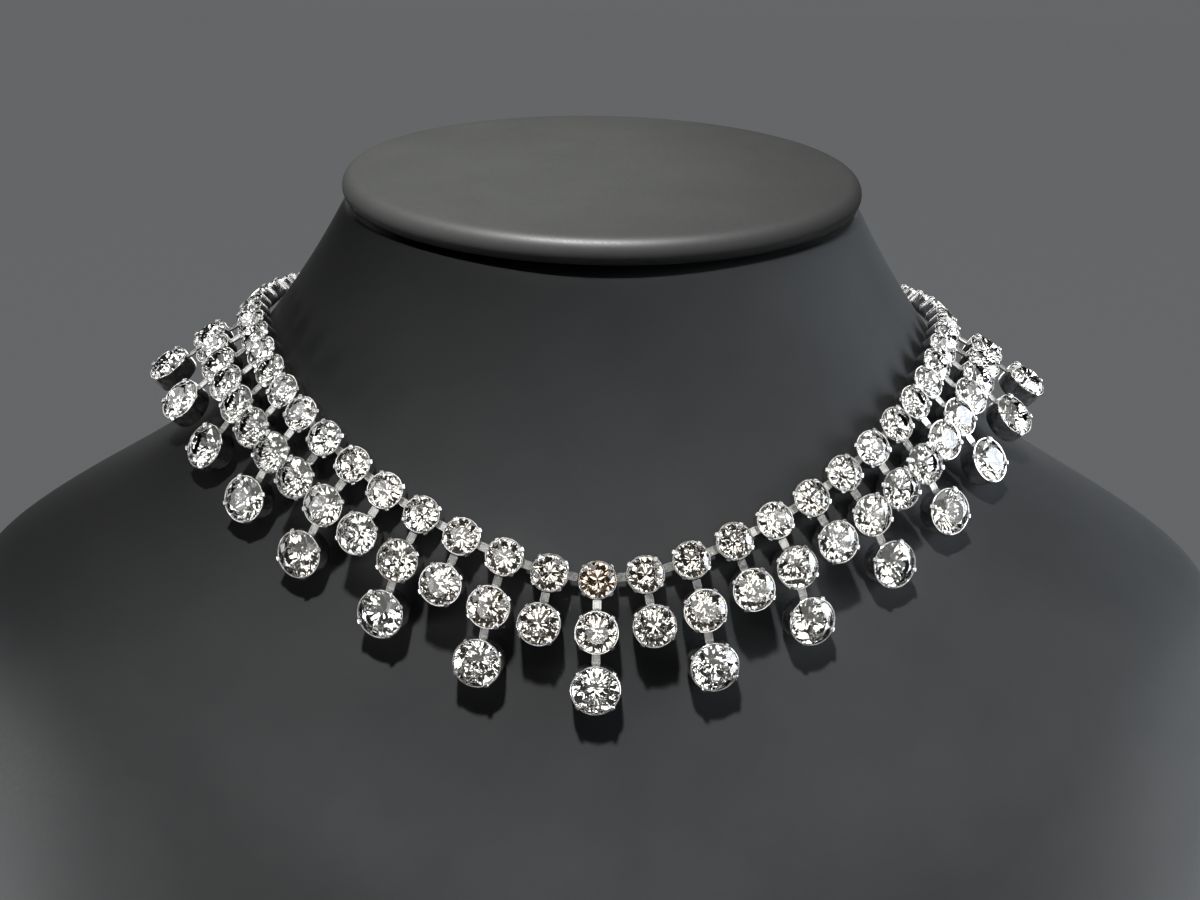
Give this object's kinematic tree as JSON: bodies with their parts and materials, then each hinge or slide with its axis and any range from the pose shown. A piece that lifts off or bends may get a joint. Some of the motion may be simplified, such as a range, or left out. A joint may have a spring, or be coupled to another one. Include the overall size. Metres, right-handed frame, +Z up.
{
  "type": "rhinestone necklace on a neck bust",
  "caption": "Neck chain of round claw-set rhinestones with a fringe of larger stones and hanging drops, closed round a padded neck bust with a tilted oval cap.",
  "frame": {"origin": "centre of the bust's flat base, at the middle of the assembly's plan box", "axes": "+Z up, -Y towards the front of the necklace, +X along the shoulders towards the right of the picture"},
  "size_m": [0.2676, 0.156, 0.214],
  "materials": {
    "bust_cover": "smooth charcoal leatherette, soft satin sheen",
    "cap_cover": "smooth charcoal leatherette drawn over a padded oval cap",
    "crystal": "clear cut glass with a mirror-foiled back",
    "silver_metal": "bright silver-tone plating, darker in the recesses"
  },
  "bodies": {
    "root": {"bust_body": "bust_cover", "bust_cap": "cap_cover", "neck_chain_stones": "crystal", "neck_chain_settings": "silver_metal", "middle_row_stones": "crystal", "middle_row_settings": "silver_metal", "clasp": "silver_metal", "drop_stone_left_7": "crystal", "drop_stone_left_6": "crystal", "drop_stone_left_5": "crystal", "drop_stone_left_4": "crystal", "drop_stone_left_3": "crystal", "drop_stone_left_2": "crystal", "drop_stone_left_1": "crystal", "drop_stone_front": "crystal", "drop_stone_right_1": "crystal", "drop_stone_right_2": "crystal", "drop_stone_right_3": "crystal", "drop_stone_right_4": "crystal", "drop_stone_right_5": "crystal", "drop_stone_right_6": "crystal", "drop_stone_right_7": "crystal", "drop_setting_left_7": "silver_metal", "drop_setting_left_6": "silver_metal", "drop_setting_left_5": "silver_metal", "drop_setting_left_4": "silver_metal", "drop_setting_left_3": "silver_metal", "drop_setting_left_2": "silver_metal", "drop_setting_left_1": "silver_metal", "drop_setting_front": "silver_metal", "drop_setting_right_1": "silver_metal", "drop_setting_right_2": "silver_metal", "drop_setting_right_3": "silver_metal", "drop_setting_right_4": "silver_metal", "drop_setting_right_5": "silver_metal", "drop_setting_right_6": "silver_metal", "drop_setting_right_7": "silver_metal"}
  },
  "joints": []
}
